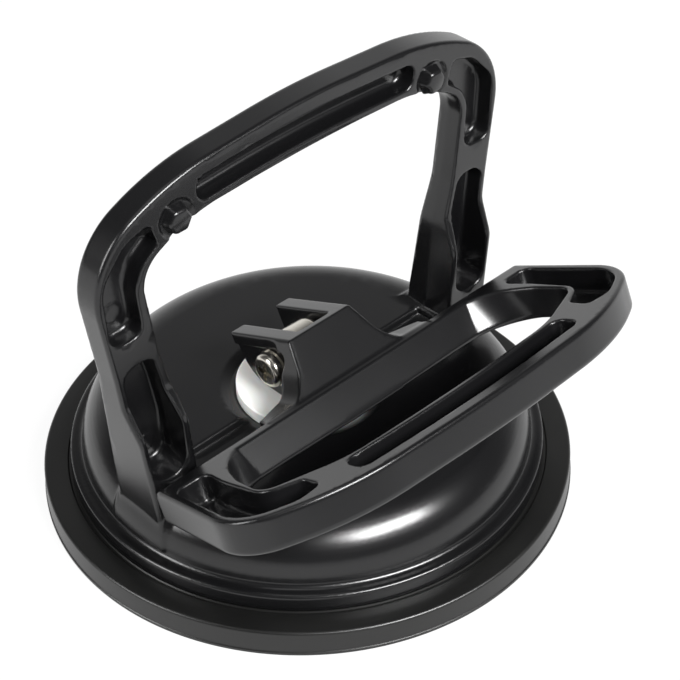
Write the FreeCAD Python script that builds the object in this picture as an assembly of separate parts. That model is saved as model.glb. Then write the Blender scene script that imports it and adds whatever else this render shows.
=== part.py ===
"""Single-cup suction lifter for floor tiles, in millimetres.

A moulded cup with a fixed arch handle sits on a rubber pad. A D-shaped lever swings up against the
arch, and the cams at its heel lift an eye stud, which draws the middle of the pad up into the cup.

Origin: centre of the pad's face on the floor. +Z is up, -Y points to the lever's grip, and X runs
along the lever's pivot screw. The lever is drawn in its released position.
"""
import FreeCAD, Part
import math
import os

V = FreeCAD.Vector

# ---------------------------------------------------------------- driving dimensions
# Rubber pad
PAD_RADIUS = 60.0            # at the sealing lip
PAD_RIM = 6.2                # thickness of the rim under the cup
PAD_RIM_INNER = 45.0         # radius where the rim thins to the membrane
PAD_DISH = 1.0               # how far the middle stands off the floor
PAD_DISH_RADIUS = 50.0
MEMBRANE = 3.0               # thickness of the rubber inside the rim
PAD_EDGE_ROUND = 1.0
LIP_GROOVE = 0.6             # depth of the grooves between the sealing lips
LIP_PITCH = 3.2
LIP_COUNT = 2

# Cup shell
FLANGE_MARGIN = 6.6          # the pad shows this much outside the flange
FLANGE_HEIGHT = 4.2
FLANK_MARGIN = 3.0           # width of the flange's ledge
FLANK_ROUND = 11.5           # big shoulder radius of the dome
DOME_TOP = 23.2
FLANGE_FILLET = 1.0
FLANGE_EDGE_ROUND = 0.5
WALL = 3.0
RIB_COUNT = 8
RIB_WIDTH = 2.0
RIB_FOOT = 10.2              # height of the ribs' lower edges

# Wear washer and its seat in the dome
WASHER_RADIUS = 15.4
WASHER_THICKNESS = 2.8
WASHER_SEAT = 21.5
WASHER_EDGE_ROUND = 0.4
SEAT_CLEARANCE = 0.4         # round the washer
SEAT_MOUTH_RADIUS = 18.5     # where the seat's slope meets the dome
RELIEF_DEPTH = 1.5           # step in front of the arch, under the lever's back bar
RELIEF_BACK = 1.0
RELIEF_FRONT = -13.0

# Eye stud, insert plate, weld nut, spring
STUD_RADIUS = 4.0
STUD_RUNNING = 0.08          # radial clearance in the cup's guide
EYE_RADIUS = 6.1
EYE_WIDTH = 8.8
EYE_ROUND = 2.0
STUD_FOOT = 4.6              # height of the stud's lower end
PLATE_RADIUS = 32.0
PLATE_THICKNESS = 2.0
THREAD_CLEARANCE = 0.04
WELD_NUT_FLATS = 13.0
WELD_NUT_HEIGHT = 5.0
GUIDE_FOOT = 15.2            # height of the guide boss's lower end
GUIDE_RADIUS = 6.5
SPRING_WIRE = 1.6
SPRING_RADIUS = 10.2         # of the wire's centre line
SPRING_TURNS = 3.0
SPRING_SEAT_GAP = 0.1
POCKET_RING_INNER = 12.6     # ring rib round the spring
POCKET_RING_WALL = 2.0
POCKET_RING_FOOT = 12.0

# Arch handle
ARCH_FRONT = -4.4
ARCH_BACK = 2.4
FOOT_FRONT = -8.0            # the legs step forward below the lever's hinge end
FOOT_BACK = 5.6
FLARE_TOP = 49.2
FLARE_BOTTOM = 41.6
ARCH_POCKET_FLOOR = -0.2
ARCH_TOP = 99.2
ARCH_OVERHANG = 5.5          # how far the arch's shoulders stand out past the dome's flank
ARCH_BAR = 11.8              # depth of the top bar at the middle
ARCH_RAIL = 2.1              # rails left beside the pockets
ARCH_FRONT_ROUND = 0.9       # outer front edge
ARCH_BACK_ROUND = 2.0
WINDOW_FRONT_ROUND = 0.6
WINDOW_BACK_ROUND = 1.2
SLOT_HEIGHT = 5.9
SLOT_DROP = 6.8              # from the arch's top to the slot's middle
ARCH_ROOT = 8.0              # the legs' sketches run down into the dome to this height
PLINTH_MARGIN = 1.2
PLINTH_RISE = 0.5
MARK_RADIUS = 2.2            # ejector pin marks in the pockets
MARK_RISE = 0.3

# Stop pegs
PEG_INSET = 20.9             # from the arch's widest point
PEG_DROP = 11.5              # from the arch's top
PEG_FLATS = 6.2
PEG_PROUD = 2.55
PEG_EDGE = 0.4
PEG_SPIGOT_RADIUS = 1.8
PEG_SPIGOT_LENGTH = 3.2
PEG_DISH_RADIUS = 4.3
PEG_DISH_DEPTH = 0.6
PEG_FIT = 0.02

# Lever: t runs from the pivot to the grip, n is square to the lever's face
PIVOT_HEIGHT = 32.6
LEVER_TILT = 24.3            # degrees that the released lever slopes up
LEVER_SWING = 61.9           # degrees from released to locked
STUD_LIFT = 3.8              # how far the full swing lifts the stud
CAM_GAP = 0.25               # between the cams and the wear washer
LEVER_FACE = -3.9            # n of the lever's pocketed face
LEVER_THICKNESS = 8.0
LEVER_BACK = 11.0            # t of the back bar's rear edge
LEVER_BACK_BAR = 7.3
LEVER_BACK_FACET = 2.5       # facet that clears the arch's feet when the lever is locked
LEVER_FRONT = 58.7
LEVER_FRONT_BAR = 11.9
LEVER_OVERHANG = 1.0         # how far the lever stands out past the arch's shoulders
LEVER_RAIL = 2.2             # rails left beside the pockets
LEVER_POCKET_DEPTH = 6.0
LEVER_FACE_ROUND = 0.8
LEVER_UNDERSIDE_ROUND = 1.4
LEVER_WINDOW_ROUND = 1.4     # underside edge of the finger opening
GRIP_SLOT_HALF_LENGTH = 31.0
CHEEK_TOP = 7.3
HUMP_FRONT = 9.2             # t of the hump's top front edge
HUMP_CREASE_T = 13.9
HUMP_CREASE_N = 0.3
HUMP_FOOT = 1.1              # how far the hump's foot reaches into the finger opening
CHEEK_HALF_WIDTH = 8.9
CHEEK_SLOT_CLEARANCE = 0.2   # each side of the stud's eye
CHEEK_SLOT_FRONT = 7.0
CHEEK_RECESS = 0.8
CHEEK_RECESS_TOP = 4.4

# Pivot screw (M4 pan head), nut and washers
SCREW_RADIUS = 2.0
SCREW_FIT = 0.05
SCREW_HEAD_RADIUS = 4.0
SCREW_HEAD_HEIGHT = 2.6
SCREW_END = 13.0
PIVOT_WASHER_RADIUS = 4.4
PIVOT_WASHER_THICKNESS = 0.8
PIVOT_NUT_FLATS = 7.0
PIVOT_NUT_HEIGHT = 3.2
CROSS_WIDTH = 1.1
CROSS_SPAN = 4.6
CROSS_DEPTH = 1.5

# ---------------------------------------------------------------- worked-out sizes
FLANGE_RADIUS = PAD_RADIUS - FLANGE_MARGIN
FLANK_RADIUS = FLANGE_RADIUS - FLANK_MARGIN
ARCH_HALF_WIDTH = FLANK_RADIUS + ARCH_OVERHANG
LEVER_HALF_WIDTH = ARCH_HALF_WIDTH + LEVER_OVERHANG
ARCH_WINDOW_TOP = ARCH_TOP - ARCH_BAR
SLOT_LEVEL = ARCH_TOP - SLOT_DROP
PEG_X = ARCH_HALF_WIDTH - PEG_INSET
PEG_Z = ARCH_TOP - PEG_DROP
LEVER_WINDOW_BACK = LEVER_BACK + LEVER_BACK_BAR
LEVER_WINDOW_FRONT = LEVER_FRONT - LEVER_FRONT_BAR
HUMP_FOOT_T = LEVER_WINDOW_BACK + HUMP_FOOT
FLANGE_TOP = PAD_RIM + FLANGE_HEIGHT
MEMBRANE_TOP = PAD_DISH + MEMBRANE
PLATE_TOP = MEMBRANE_TOP + PLATE_THICKNESS
WASHER_TOP = WASHER_SEAT + WASHER_THICKNESS
CENTRE_CEILING = WASHER_SEAT - WALL
CAM_REST = PIVOT_HEIGHT - WASHER_TOP - CAM_GAP
CAM_RATE = STUD_LIFT / math.radians(LEVER_SWING)
LOCKED_TILT = math.radians(LEVER_TILT + LEVER_SWING)
# The heel's locking flat lies level on the washer when locked, and ends at the cheeks' top plane.
CHEEK_TAIL = -(CAM_REST + STUD_LIFT + CHEEK_TOP * math.cos(LOCKED_TILT)) / math.sin(LOCKED_TILT)
CHEEK_GAP = EYE_WIDTH / 2 + CHEEK_SLOT_CLEARANCE
CHEEK_SEAT = CHEEK_HALF_WIDTH - CHEEK_RECESS


# ---------------------------------------------------------------- drawing helpers
def rounded(points, place):
    """Closed wire through (a, b, radius) corners; place(a, b) puts a sketch point in space."""
    count = len(points)
    trims = []
    for i, (a, b, radius) in enumerate(points):
        corner = V(a, b, 0)
        before = V(*points[i - 1][:2], 0) - corner
        after = V(*points[(i + 1) % count][:2], 0) - corner
        if radius == 0:
            trims.append((corner, corner, corner))
            continue
        half = before.getAngle(after) / 2
        reach = radius / math.tan(half)
        before.normalize()
        after.normalize()
        middle = before + after
        middle.normalize()
        centre = corner + middle * (radius / math.sin(half))
        trims.append((corner + before * reach, centre - middle * radius, corner + after * reach))
    edges = []
    for i, (start, top, end) in enumerate(trims):
        if start.distanceToPoint(end) > 1e-6:
            edges.append(Part.Arc(place(start), place(top), place(end)).toShape())
        following = trims[(i + 1) % count][0]
        if end.distanceToPoint(following) > 1e-6:
            edges.append(Part.makeLine(place(end), place(following)))
    return Part.Wire(edges)


def prism(points, place, direction):
    return Part.Face(rounded(points, place)).extrude(direction)


def mirrored(right_half):
    """Full outline from its right half, which starts and ends on or beside the Z axis."""
    left_half = [(-a, b, radius) for a, b, radius in reversed(right_half) if a != 0]
    return right_half + left_half


def both_sides(shape):
    return [shape, shape.mirror(V(0, 0, 0), V(1, 0, 0))]


def revolve(points):
    """Solid of revolution about Z from (radius, height, corner radius) points."""
    face = Part.Face(rounded(points, lambda p: V(p.x, 0, p.y)))
    return face.revolve(V(0, 0, 0), V(0, 0, 1), 360)


def ring(inner, outer, bottom, top):
    return revolve([(inner, bottom, 0), (outer, bottom, 0), (outer, top, 0), (inner, top, 0)])


def hexagon(flats, height, base, direction):
    """Hexagonal prism on base, with two flats square to the X or Z axis."""
    radius = flats / math.sqrt(3)
    side = V(1, 0, 0) if abs(direction.x) < 0.5 else V(0, 1, 0)
    up = direction.cross(side)
    corners = [base + side * (radius * math.cos(math.radians(60 * i))) + up * (radius * math.sin(math.radians(60 * i)))
               for i in range(7)]
    return Part.Face(Part.makePolygon(corners)).extrude(direction * height)


def round_rim(shape, outline, axis, radius, chosen):
    """Rounds the edges of shape along the walls of the prism outline, where chosen(point) holds."""
    walls = [face for face in outline.Faces if abs(face.normalAt(0, 0).dot(axis)) < 0.5]
    picked = []
    for edge in shape.Edges:
        start, middle, end = [edge.valueAt(edge.FirstParameter + (edge.LastParameter - edge.FirstParameter) * share)
                              for share in (0, 0.5, 1)]
        crosses = abs((end - start).dot(axis)) > 0.9 * start.distanceToPoint(end) and edge.Length < 20
        if crosses or not chosen(middle):
            continue
        if min(Part.Vertex(middle).distToShape(wall)[0] for wall in walls) < 1e-4:
            picked.append(edge)
    return shape.makeFillet(radius, picked)


def one(shape):
    """The single solid of a finished sub-part."""
    cleaned = shape.removeSplitter()
    return cleaned.Solids[0] if len(cleaned.Solids) == 1 else cleaned


# ---------------------------------------------------------------- rubber pad
def suction_pad():
    """Thick rim with two lips underneath, and a thin dished membrane inside it."""
    body = revolve([
        (0, PAD_DISH, 0),
        (PAD_DISH_RADIUS - PAD_DISH, PAD_DISH, 0),
        (PAD_DISH_RADIUS, 0, 0),
        (PAD_RADIUS, 0, PAD_EDGE_ROUND / 2),
        (PAD_RADIUS, PAD_RIM, PAD_EDGE_ROUND),
        (PAD_RIM_INNER, PAD_RIM, 0),
        (PAD_RIM_INNER - 2, MEMBRANE_TOP, 0),
        (0, MEMBRANE_TOP, 0),
    ])
    for i in range(LIP_COUNT):
        groove = PAD_RADIUS - LIP_PITCH * (i + 1)
        body = body.cut(ring(groove - LIP_GROOVE, groove + LIP_GROOVE, -1, LIP_GROOVE))
    return one(body)


# ---------------------------------------------------------------- cup body with its arch
def dome_outside(rise=0.0):
    """Outer form of the cup, thickened by rise."""
    shoulder = FLANK_ROUND + rise
    centre_r = FLANK_RADIUS - FLANK_ROUND
    centre_z = DOME_TOP - FLANK_ROUND
    outline = [
        Part.makeLine(V(0, 0, PAD_RIM), V(FLANGE_RADIUS, 0, PAD_RIM)),
        Part.makeLine(V(FLANGE_RADIUS, 0, PAD_RIM), V(FLANGE_RADIUS, 0, FLANGE_TOP - FLANGE_EDGE_ROUND)),
        arc_rz(FLANGE_RADIUS - FLANGE_EDGE_ROUND, FLANGE_TOP - FLANGE_EDGE_ROUND, FLANGE_EDGE_ROUND, 0, 90),
        Part.makeLine(V(FLANGE_RADIUS - FLANGE_EDGE_ROUND, 0, FLANGE_TOP),
                      V(FLANK_RADIUS + rise + FLANGE_FILLET, 0, FLANGE_TOP)),
        arc_rz(FLANK_RADIUS + rise + FLANGE_FILLET, FLANGE_TOP + FLANGE_FILLET, FLANGE_FILLET, 270, 180),
        Part.makeLine(V(FLANK_RADIUS + rise, 0, FLANGE_TOP + FLANGE_FILLET), V(FLANK_RADIUS + rise, 0, centre_z)),
        arc_rz(centre_r, centre_z, shoulder, 0, 90),
        Part.makeLine(V(centre_r, 0, centre_z + shoulder), V(0, 0, centre_z + shoulder)),
        Part.makeLine(V(0, 0, centre_z + shoulder), V(0, 0, PAD_RIM)),
    ]
    return Part.Face(Part.Wire(outline)).revolve(V(0, 0, 0), V(0, 0, 1), 360)


def arc_rz(centre_r, centre_z, radius, start, end):
    """Arc in the radius-height plane between two angles in degrees."""
    points = []
    for share in (0, 0.5, 1):
        angle = math.radians(start + (end - start) * share)
        points.append(V(centre_r + radius * math.cos(angle), 0, centre_z + radius * math.sin(angle)))
    return Part.Arc(*points).toShape()


def cup_cavity():
    """Hollow under the dome, leaving ribs, a spring ring and a guide boss."""
    centre_r = FLANK_RADIUS - FLANK_ROUND
    centre_z = DOME_TOP - FLANK_ROUND
    inner_round = FLANK_ROUND - WALL
    hollow = Part.Face(Part.Wire([
        Part.makeLine(V(0, 0, PAD_RIM - 1), V(centre_r + inner_round, 0, PAD_RIM - 1)),
        Part.makeLine(V(centre_r + inner_round, 0, PAD_RIM - 1), V(centre_r + inner_round, 0, centre_z)),
        arc_rz(centre_r, centre_z, inner_round, 0, 90),
        Part.makeLine(V(centre_r, 0, DOME_TOP - WALL), V(SEAT_MOUTH_RADIUS + WALL, 0, DOME_TOP - WALL)),
        Part.makeLine(V(SEAT_MOUTH_RADIUS + WALL, 0, DOME_TOP - WALL), V(SEAT_MOUTH_RADIUS, 0, CENTRE_CEILING)),
        Part.makeLine(V(SEAT_MOUTH_RADIUS, 0, CENTRE_CEILING), V(0, 0, CENTRE_CEILING)),
        Part.makeLine(V(0, 0, CENTRE_CEILING), V(0, 0, PAD_RIM - 1)),
    ])).revolve(V(0, 0, 0), V(0, 0, 1), 360)
    spring_ring = ring(POCKET_RING_INNER, POCKET_RING_INNER + POCKET_RING_WALL, POCKET_RING_FOOT, DOME_TOP)
    guide = ring(STUD_RADIUS, GUIDE_RADIUS, GUIDE_FOOT, DOME_TOP)
    ribs = []
    for i in range(RIB_COUNT):
        rib = Part.makeBox(FLANK_RADIUS, RIB_WIDTH, DOME_TOP, V(POCKET_RING_INNER + POCKET_RING_WALL / 2, -RIB_WIDTH / 2, RIB_FOOT))
        rib.rotate(V(0, 0, 0), V(0, 0, 1), (i + 0.5) * 360 / RIB_COUNT)
        ribs.append(rib)
    return hollow.cut(Part.makeCompound([spring_ring, guide])).cut(ribs[0].multiFuse(ribs[1:]))


def arch_plane(y):
    return lambda p: V(p.x, y, p.y)


def arch_outline():
    half = ARCH_HALF_WIDTH
    crown = 0.0768 * half ** 2
    return mirrored([
        (0, ARCH_TOP + 2.25, crown), (0.65 * half, ARCH_TOP - 2.75, crown / 20),
        (half + 1.1, ARCH_TOP - 13.6, 16), (half - 2.7, ARCH_TOP - 42.7, 60), (half - 8.0, ARCH_ROOT, 0),
    ])


def arch_window():
    half = ARCH_HALF_WIDTH
    top = ARCH_WINDOW_TOP
    crown = 0.16 * half ** 2
    waist = FLARE_TOP + 0.23 * (top - FLARE_TOP)
    return mirrored([
        (0, top + 0.5, crown), (0.54 * half, top - 0.7, 0.08 * crown), (half - 11.2, top - 7.8, 6.5),
        (half - 14.0, waist, 25), (half - 16.7, FLARE_TOP - 2.6, 20), (half - 18.3, PIVOT_HEIGHT - 5.6, 20),
        (half - 18.6, ARCH_ROOT - 1, 0),
    ])


def leg_side():
    """Side view of the arch: the legs grow deeper, forwards and backwards, towards their feet."""
    return [
        (ARCH_FRONT, ARCH_TOP + 5, 0), (ARCH_FRONT, FLARE_TOP, 6), (FOOT_FRONT, FLARE_BOTTOM, 6),
        (FOOT_FRONT, ARCH_ROOT, 0), (FOOT_BACK, ARCH_ROOT, 0), (FOOT_BACK, DOME_TOP, 20), (ARCH_BACK, FLARE_TOP + 8, 40),
        (ARCH_BACK, ARCH_TOP + 5, 0),
    ]


def arch():
    depth = FOOT_BACK - FOOT_FRONT
    outside = prism(arch_outline(), arch_plane(FOOT_FRONT), V(0, depth, 0))
    window = prism(arch_window(), arch_plane(FOOT_FRONT - 1), V(0, depth + 2, 0))
    side = prism(leg_side(), lambda p: V(-PAD_RADIUS, p.x, p.y), V(2 * PAD_RADIUS, 0, 0))
    body = outside.cut(window).common(side).Solids[0]
    middle = (ARCH_FRONT + ARCH_BACK) / 2
    across = V(0, 1, 0)
    for outline, back, front in ((outside, ARCH_BACK_ROUND, ARCH_FRONT_ROUND),
                                 (window, WINDOW_BACK_ROUND, WINDOW_FRONT_ROUND)):
        body = round_rim(body, outline, across, back, lambda p: p.y > middle and p.z > ARCH_ROOT + 0.5)
        body = round_rim(body, outline, across, front, lambda p: p.y < middle and p.z > ARCH_ROOT + 0.5)
    return body


def arch_pockets():
    """Cored pockets in the front face: a long slot on top, and two on each leg."""
    depth = V(0, ARCH_POCKET_FLOOR - FOOT_FRONT + 2, 0)
    front = arch_plane(FOOT_FRONT - 2)
    half = ARCH_HALF_WIDTH
    top = SLOT_LEVEL + SLOT_HEIGHT / 2
    bottom = SLOT_LEVEL - SLOT_HEIGHT / 2
    end = SLOT_HEIGHT * 0.45
    reach = PEG_X - PEG_DISH_RADIUS - 1.1
    slot = prism(mirrored([(0, top + 0.6, 300), (reach, top - 1.4, end), (reach, bottom - 1.2, end),
                           (0, bottom + 0.6, 300)]), front, depth)
    inner = half - 11.2 + ARCH_RAIL
    outer = half - ARCH_RAIL
    shoulder = ARCH_TOP - 34.0
    corner = prism([(PEG_X + 5.0, PEG_Z - 3.4, 0.9), (PEG_X + 6.6, PEG_Z + 1.9, 1.6), (outer - 6.0, PEG_Z - 0.1, 6),
                    (outer + 0.3, PEG_Z - 7.2, 8), (outer - 0.4, shoulder, 3), (inner - 1.3, shoulder + 0.4, 2.6),
                    (inner - 0.4, shoulder + 11.4, 6), (inner - 2.4, shoulder + 15.8, 4)], front, depth)
    upper = shoulder - 4.6
    bend = FLARE_BOTTOM + 0.54 * (upper - FLARE_BOTTOM)
    foot = PIVOT_HEIGHT - 3.6
    leg = prism([(half - 11.7, upper, 3), (half - 4.0, upper + 0.3, 3.4), (half - 5.5, upper - 14.3, 30),
                 (half - 7.1, foot + 0.6, 3.2), (half - 15.6, foot, 3.6), (half - 15.2, FLARE_BOTTOM, 14),
                 (half - 13.4, bend, 20)], front, depth)
    return both_sides(corner) + both_sides(leg) + [slot]


def ejector_marks():
    """Low round pads that the ejector pins leave on the floors of the leg pockets."""
    floor = ARCH_POCKET_FLOOR - MARK_RISE
    marks = []
    for x, z in ((ARCH_HALF_WIDTH - 6.2, ARCH_TOP - 28.6), (ARCH_HALF_WIDTH - 10.9, PIVOT_HEIGHT + 1.6)):
        marks += both_sides(Part.makeCylinder(MARK_RADIUS, 1 + MARK_RISE, V(x, floor, z), V(0, 1, 0)))
    return marks


def foot_plinths():
    """Shallow raised pads on the dome, a little larger than each foot."""
    raised = dome_outside(PLINTH_RISE)
    inner, outer = ARCH_HALF_WIDTH - 19.6, FLANK_RADIUS + 1
    box = Part.makeBox(outer - inner, FOOT_BACK - FOOT_FRONT + 2 * PLINTH_MARGIN, DOME_TOP,
                       V(inner, FOOT_FRONT - PLINTH_MARGIN, FLANGE_TOP + FLANGE_FILLET))
    return [side.common(raised) for side in both_sides(box)]


def seat_cut():
    """Flat seat for the wear washer with a sloping mouth, and the stud's guide bore."""
    seat = WASHER_RADIUS + SEAT_CLEARANCE
    bowl = revolve([
        (0, WASHER_SEAT, 0), (seat, WASHER_SEAT, 0.4), (seat + 0.4, WASHER_SEAT + 0.7, 0.5),
        (SEAT_MOUTH_RADIUS, DOME_TOP, 0), (SEAT_MOUTH_RADIUS, DOME_TOP + 2, 0), (0, DOME_TOP + 2, 0),
    ])
    bore = Part.makeCylinder(STUD_RADIUS + STUD_RUNNING, DOME_TOP, V(0, 0, 0))
    return bowl.fuse(bore)


def front_relief():
    """Step across the dome in front of the arch, where the lever's back bar comes down."""
    half = ARCH_HALF_WIDTH - 19.4
    profile = [(RELIEF_BACK, DOME_TOP + 1, 0), (RELIEF_BACK, DOME_TOP, 0),
               (RELIEF_BACK - RELIEF_DEPTH / 2, DOME_TOP - RELIEF_DEPTH, 0.4),
               (RELIEF_FRONT, DOME_TOP - RELIEF_DEPTH, 0.8), (RELIEF_FRONT - RELIEF_DEPTH, DOME_TOP + 1, 0)]
    return prism(profile, lambda p: V(-half, p.x, p.y), V(2 * half, 0, 0))


def peg_places():
    return {"left": V(-PEG_X, ARCH_FRONT, PEG_Z), "right": V(PEG_X, ARCH_FRONT, PEG_Z)}


def peg_seats():
    """Shallow dished rings round the pegs, each with a blind hole for the peg's spigot."""
    cuts = []
    for place in peg_places().values():
        cuts.append(Part.makeCone(PEG_DISH_RADIUS, PEG_DISH_RADIUS - PEG_DISH_DEPTH, PEG_DISH_DEPTH, place, V(0, 1, 0)))
        cuts.append(Part.makeCylinder(PEG_SPIGOT_RADIUS + PEG_FIT, PEG_DISH_DEPTH + PEG_SPIGOT_LENGTH + PEG_FIT,
                                      place, V(0, 1, 0)))
    return cuts


def cup_body():
    body = dome_outside().fuse([arch()] + foot_plinths())
    cuts = [cup_cavity(), seat_cut(), front_relief()] + arch_pockets() + peg_seats()
    return one(body.cut(cuts).fuse(ejector_marks()))


# ---------------------------------------------------------------- pull stud and what it carries
def pad_insert_plate():
    return one(ring(STUD_RADIUS + THREAD_CLEARANCE, PLATE_RADIUS, MEMBRANE_TOP, PLATE_TOP))


def insert_nut():
    nut = hexagon(WELD_NUT_FLATS, WELD_NUT_HEIGHT, V(0, 0, PLATE_TOP), V(0, 0, 1))
    return one(nut.cut(Part.makeCylinder(STUD_RADIUS + THREAD_CLEARANCE, WELD_NUT_HEIGHT, V(0, 0, PLATE_TOP))))


def pull_stud():
    """Eye stud: a round-edged eye on a plain shank."""
    eye = Part.makeCylinder(EYE_RADIUS, EYE_WIDTH, V(-EYE_WIDTH / 2, 0, PIVOT_HEIGHT), V(1, 0, 0))
    eye = eye.makeFillet(EYE_ROUND, [e for e in eye.Edges if e.Curve.TypeId == "Part::GeomCircle"])
    shank = Part.makeCylinder(STUD_RADIUS, PIVOT_HEIGHT - STUD_FOOT, V(0, 0, STUD_FOOT))
    bore = Part.makeCylinder(SCREW_RADIUS + SCREW_FIT, EYE_WIDTH + 2, V(-EYE_WIDTH / 2 - 1, 0, PIVOT_HEIGHT), V(1, 0, 0))
    return one(eye.fuse(shank).cut(bore))


def return_spring():
    """Open coil between the insert plate and the cup's ceiling."""
    half_wire = SPRING_WIRE / 2
    low = PLATE_TOP + SPRING_SEAT_GAP + half_wire
    high = CENTRE_CEILING - SPRING_SEAT_GAP - half_wire
    helix = Part.makeHelix((high - low) / SPRING_TURNS, high - low, SPRING_RADIUS)
    helix.translate(V(0, 0, low))
    section = Part.Wire(Part.makeCircle(half_wire, V(SPRING_RADIUS, 0, low), V(0, 1, 0)))
    return one(Part.Wire(helix).makePipeShell([section], True, True))


def wear_washer():
    """White bearing washer that the lever's cams slide on."""
    return one(revolve([
        (STUD_RADIUS + SEAT_CLEARANCE, WASHER_SEAT, 0), (WASHER_RADIUS, WASHER_SEAT, 0),
        (WASHER_RADIUS, WASHER_TOP, WASHER_EDGE_ROUND), (STUD_RADIUS + SEAT_CLEARANCE, WASHER_TOP, WASHER_EDGE_ROUND),
    ]))


def stop_peg(place):
    """Hexagonal stop peg with a round spigot pressed into the arch."""
    base = place + V(0, PEG_DISH_DEPTH, 0)
    head = hexagon(PEG_FLATS, PEG_PROUD + PEG_DISH_DEPTH, base, V(0, -1, 0))
    rim = [e for e in head.Edges if abs(e.CenterOfMass.y - (place.y - PEG_PROUD)) < 1e-6]
    head = head.makeChamfer(PEG_EDGE, rim)
    return one(head.fuse(Part.makeCylinder(PEG_SPIGOT_RADIUS, PEG_SPIGOT_LENGTH, base, V(0, 1, 0))))


# ---------------------------------------------------------------- lever
def in_lever(shape):
    """Turns a shape drawn flat round the pivot (x, -t, n) to the released lever's place."""
    shape.rotate(V(0, 0, 0), V(1, 0, 0), -LEVER_TILT)
    shape.translate(V(0, 0, PIVOT_HEIGHT))
    return shape


def lever_plan(n):
    return lambda p: V(p.x, -p.y, n)


def lever_side(x):
    return lambda p: V(x, -p.x, p.y)


def tn(y, z):
    """(t, n) of a point given beside and above the pivot in the released pose."""
    tilt = math.radians(LEVER_TILT)
    return (-y * math.cos(tilt) + z * math.sin(tilt), y * math.sin(tilt) + z * math.cos(tilt))


def cam_point(swing):
    """Point of the involute heel that bears on the washer after this swing in degrees."""
    angle = math.radians(swing)
    reach = CAM_REST + CAM_RATE * angle
    y = reach * math.sin(angle) + CAM_RATE * math.cos(angle)
    z = -reach * math.cos(angle) + CAM_RATE * math.sin(angle)
    return tn(y, z)


def centre_profile(x):
    """Side view of the cheeks and hump: flat rest, involute heel, flat lock, top and sloping front."""
    place = lever_side(x)
    heel = [cam_point(LEVER_SWING * i / 8) for i in range(9)]
    underside = LEVER_FACE - LEVER_THICKNESS
    tilt = math.radians(LEVER_TILT)
    meet = (CAM_REST + underside * math.cos(tilt)) / -math.sin(tilt)
    corners = [heel[-1], (CHEEK_TAIL, CHEEK_TOP), (HUMP_FRONT, CHEEK_TOP), (HUMP_CREASE_T, HUMP_CREASE_N),
               (HUMP_FOOT_T, underside), (meet, underside), heel[0]]
    curve = Part.BSplineCurve()
    curve.interpolate([place(V(t, n, 0)) for t, n in heel])
    edges = [curve.toShape()]
    for a, b in zip(corners, corners[1:]):
        edges.append(Part.makeLine(place(V(*a, 0)), place(V(*b, 0))))
    return Part.Face(Part.Wire(edges))


def lever_ring():
    """D-shaped frame of the lever."""
    half = LEVER_HALF_WIDTH
    front = LEVER_WINDOW_FRONT
    crown = 0.1174 * half ** 2
    outer = mirrored([(0, LEVER_FRONT + 1.2, crown), (0.67 * half, LEVER_FRONT - 1.7, 0.079 * crown),
                      (half + 1.1, LEVER_FRONT - 13.7, 11), (half - 3.9, LEVER_BACK, 2)])
    window = mirrored([(0, front + 0.8, 0.79 * crown), (0.51 * half, front - 0.6, 0.066 * crown),
                       (half - 11.7, front - 8.0, 4.5), (half - 13.3, front - 18.2, 12),
                       (half - 19.3, LEVER_WINDOW_BACK, 8), (0, LEVER_WINDOW_BACK, 0)])
    base = LEVER_FACE - LEVER_THICKNESS
    plate = prism(outer, lever_plan(base), V(0, 0, LEVER_THICKNESS))
    opening = prism(window, lever_plan(base - 1), V(0, 0, LEVER_THICKNESS + 2))
    body = plate.cut(opening).Solids[0]
    middle = LEVER_FACE - LEVER_THICKNESS / 2
    across = V(0, 0, 1)
    for outline, under, face in ((plate, LEVER_UNDERSIDE_ROUND, LEVER_FACE_ROUND),
                                 (opening, LEVER_WINDOW_ROUND, LEVER_FACE_ROUND)):
        body = round_rim(body, outline, across, under, lambda p: p.z < middle)
        body = round_rim(body, outline, across, face, lambda p: p.z > middle)
    low = (LEVER_BACK - LEVER_BACK_FACET, LEVER_FACE - 1.6 * LEVER_BACK_FACET, 0)
    high = (LEVER_BACK + 2 * LEVER_BACK_FACET, LEVER_FACE + 0.8 * LEVER_BACK_FACET, 0)
    facet = prism([low, high, (low[0], high[1], 0)], lever_side(-half - 2), V(2 * half + 4, 0, 0))
    return body.cut(facet)


def hump_flare():
    """Flared root where the hump spreads into the back bar: bell section, side view and plan in common."""
    base = LEVER_FACE - LEVER_THICKNESS
    top_width = CHEEK_HALF_WIDTH
    bell = mirrored([(top_width - 0.2, CHEEK_TOP + 0.6, 0), (top_width + 2.5, 0.6, 8),
                     (top_width + 6.0, LEVER_FACE + 0.5, 5), (24.0, LEVER_FACE, 0), (24.0, base, 0)])
    section = prism(bell, lambda p: V(p.x, 0, p.y), V(0, -HUMP_FOOT_T - 2, 0))
    plan = prism(mirrored([(0, 0.5, 0), (top_width, 0.5, 0), (top_width + 0.4, 4.0, 3), (15.0, LEVER_BACK - 2.6, 8),
                           (24.0, LEVER_BACK, 0), (24.0, LEVER_WINDOW_BACK, 0), (0, HUMP_FOOT_T + 1, 0)]),
                 lever_plan(base), V(0, 0, 20))
    return section.common(plan).common(centre_profile(-24.0).extrude(V(48.0, 0, 0)))


def cheek_recess():
    """Shallow outer recesses for the screw's washers, closed in front by a curved web."""
    outline = [(CHEEK_TAIL - 6, CHEEK_RECESS_TOP, 0), (7.6, CHEEK_RECESS_TOP, 1.5), (6.4, 0.8, 8), (1.5, -5.8, 6),
               (-3.6, -12.0, 0), (CHEEK_TAIL - 6, -12.0, 0)]
    cut = prism(outline, lever_side(CHEEK_SEAT), V(10, 0, 0))
    return both_sides(cut)


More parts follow.
